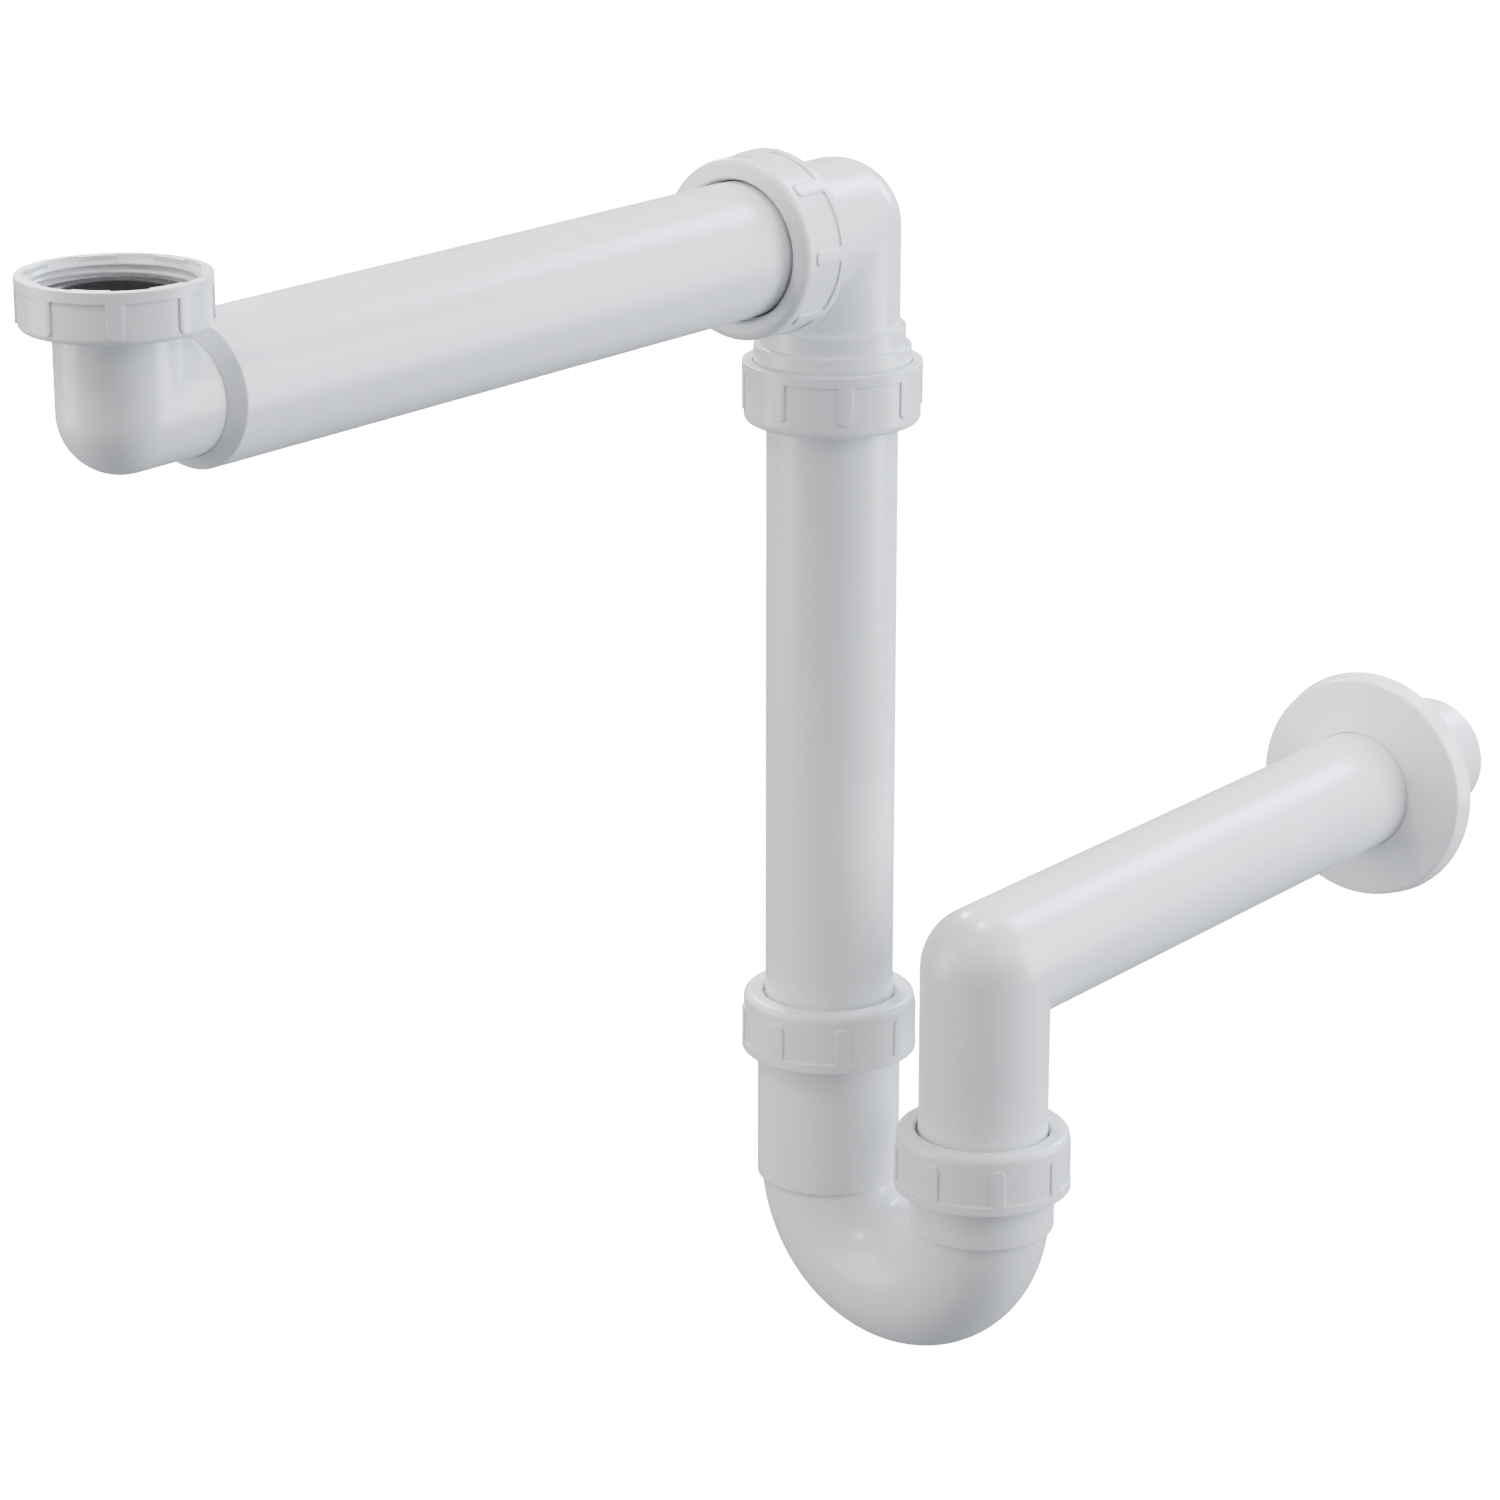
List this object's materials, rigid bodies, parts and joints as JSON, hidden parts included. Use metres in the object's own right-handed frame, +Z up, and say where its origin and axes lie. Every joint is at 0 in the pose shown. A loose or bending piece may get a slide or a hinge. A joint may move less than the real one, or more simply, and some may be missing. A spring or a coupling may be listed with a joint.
{
  "type": "p trap",
  "caption": "Space-saving basin P trap: long inlet arm, drop tube, U bend with two nut joints, outlet arm and wall rosette.",
  "frame": {"origin": "centre of the inlet gasket's top face, where the basin waste stands", "axes": "+Z up out of the inlet, +Y along both arms towards the wall, +X from the drop tube towards the trap's outlet leg"},
  "size_m": [0.1295, 0.591, 0.3873],
  "materials": {
    "white_pipe": "satin white polypropylene, moulded and extruded",
    "white_nut": "satin white polypropylene, moulded",
    "white_rosette": "glossy white plastic",
    "slip_ring": "matt natural polyethylene",
    "black_rubber": "matt black rubber",
    "seal_rubber": "matt black rubber"
  },
  "bodies": {
    "inlet_arm": {"inlet_elbow": "white_pipe", "inlet_gasket": "black_rubber", "arm_tube": "white_pipe"},
    "inlet_nut": {"inlet_nut": "white_nut"},
    "arm_seal": {"arm_seal": "seal_rubber"},
    "top_elbow": {"top_elbow": "white_pipe"},
    "arm_slip_ring": {"arm_slip_ring": "slip_ring"},
    "arm_nut": {"arm_nut": "white_nut"},
    "drop_seal": {"drop_seal": "seal_rubber"},
    "drop_tube": {"drop_tube": "white_pipe"},
    "drop_slip_ring": {"drop_slip_ring": "slip_ring"},
    "drop_nut": {"drop_nut": "white_nut"},
    "trap_inlet_seal": {"trap_inlet_seal": "seal_rubber"},
    "trap_bend": {"trap_bend": "white_pipe"},
    "trap_inlet_slip_ring": {"trap_inlet_slip_ring": "slip_ring"},
    "trap_inlet_nut": {"trap_inlet_nut": "white_nut"},
    "trap_outlet_seal": {"trap_outlet_seal": "seal_rubber"},
    "outlet_pipe": {"outlet_pipe": "white_pipe"},
    "trap_outlet_slip_ring": {"trap_outlet_slip_ring": "slip_ring"},
    "trap_outlet_nut": {"trap_outlet_nut": "white_nut"},
    "wall_rosette": {"wall_rosette": "white_rosette"}
  },
  "joints": [
    {"name": "inlet_nut_turn", "type": "hinge", "parent": "inlet_arm", "child": "inlet_nut", "pos_m": [0, 0, 0], "axis": [0, 0, 1], "continuous": true},
    {"name": "arm_slide", "type": "slide", "parent": "inlet_arm", "child": "arm_seal", "axis": [0, 1, 0], "range_m": [0, 0.006]},
    {"name": "arm_turn", "type": "hinge", "parent": "arm_seal", "child": "top_elbow", "pos_m": [0, 0.3, -0.0303], "axis": [0, 1, 0], "range_deg": [-90, 90]},
    {"name": "arm_nut_back", "type": "slide", "parent": "top_elbow", "child": "arm_slip_ring", "axis": [0, -1, 0], "range_m": [0, 0.00463]},
    {"name": "arm_nut_turn", "type": "hinge", "parent": "arm_slip_ring", "child": "arm_nut", "pos_m": [0, 0.2515, -0.0303], "axis": [0, -1, 0], "range_deg": [0, 720]},
    {"name": "drop_turn", "type": "hinge", "parent": "top_elbow", "child": "drop_seal", "pos_m": [0, 0.3, -0.08], "axis": [0, 0, 1], "continuous": true},
    {"name": "drop_slide", "type": "slide", "parent": "drop_seal", "child": "drop_tube", "axis": [0, 0, -1], "range_m": [0, 0.01]},
    {"name": "drop_nut_back", "type": "slide", "parent": "top_elbow", "child": "drop_slip_ring", "axis": [0, 0, -1], "range_m": [0, 0.00463]},
    {"name": "drop_nut_turn", "type": "hinge", "parent": "drop_slip_ring", "child": "drop_nut", "pos_m": [0, 0.3, -0.09], "axis": [0, 0, -1], "range_deg": [0, 720]},
    {"name": "trap_slide", "type": "slide", "parent": "drop_tube", "child": "trap_inlet_seal", "axis": [0, 0, 1], "range_m": [-0.015, 0.016]},
    {"name": "trap_turn", "type": "hinge", "parent": "trap_inlet_seal", "child": "trap_bend", "pos_m": [0, 0.3, -0.28], "axis": [0, 0, 1], "continuous": true},
    {"name": "trap_inlet_nut_back", "type": "slide", "parent": "trap_bend", "child": "trap_inlet_slip_ring", "axis": [0, 0, 1], "range_m": [0, 0.00463]},
    {"name": "trap_inlet_nut_turn", "type": "hinge", "parent": "trap_inlet_slip_ring", "child": "trap_inlet_nut", "pos_m": [0, 0.3, -0.2727], "axis": [0, 0, 1], "range_deg": [0, 720]},
    {"name": "outlet_turn", "type": "hinge", "parent": "trap_bend", "child": "trap_outlet_seal", "pos_m": [0.06324, 0.29424, -0.31], "axis": [0, 0, 1], "range_deg": [-180, 35]},
    {"name": "outlet_slide", "type": "slide", "parent": "trap_outlet_seal", "child": "outlet_pipe", "axis": [0, 0, 1], "range_m": [-0.004, 0.008]},
    {"name": "trap_outlet_nut_back", "type": "slide", "parent": "trap_bend", "child": "trap_outlet_slip_ring", "axis": [0, 0, 1], "range_m": [0, 0.00463]},
    {"name": "trap_outlet_nut_turn", "type": "hinge", "parent": "trap_outlet_slip_ring", "child": "trap_outlet_nut", "pos_m": [0.06324, 0.29424, -0.3021], "axis": [0, 0, 1], "range_deg": [0, 720]},
    {"name": "rosette_slide", "type": "slide", "parent": "outlet_pipe", "child": "wall_rosette", "axis": [0, 1, 0], "range_m": [-0.15, 0.03]}
  ],
  "couplings": [
    {"joint": "arm_nut_back", "follows": "arm_nut_turn", "m_per_rad": 0.00036749},
    {"joint": "drop_nut_back", "follows": "drop_nut_turn", "m_per_rad": 0.00036749},
    {"joint": "trap_inlet_nut_back", "follows": "trap_inlet_nut_turn", "m_per_rad": 0.00036749},
    {"joint": "trap_outlet_nut_back", "follows": "trap_outlet_nut_turn", "m_per_rad": 0.00036749}
  ]
}
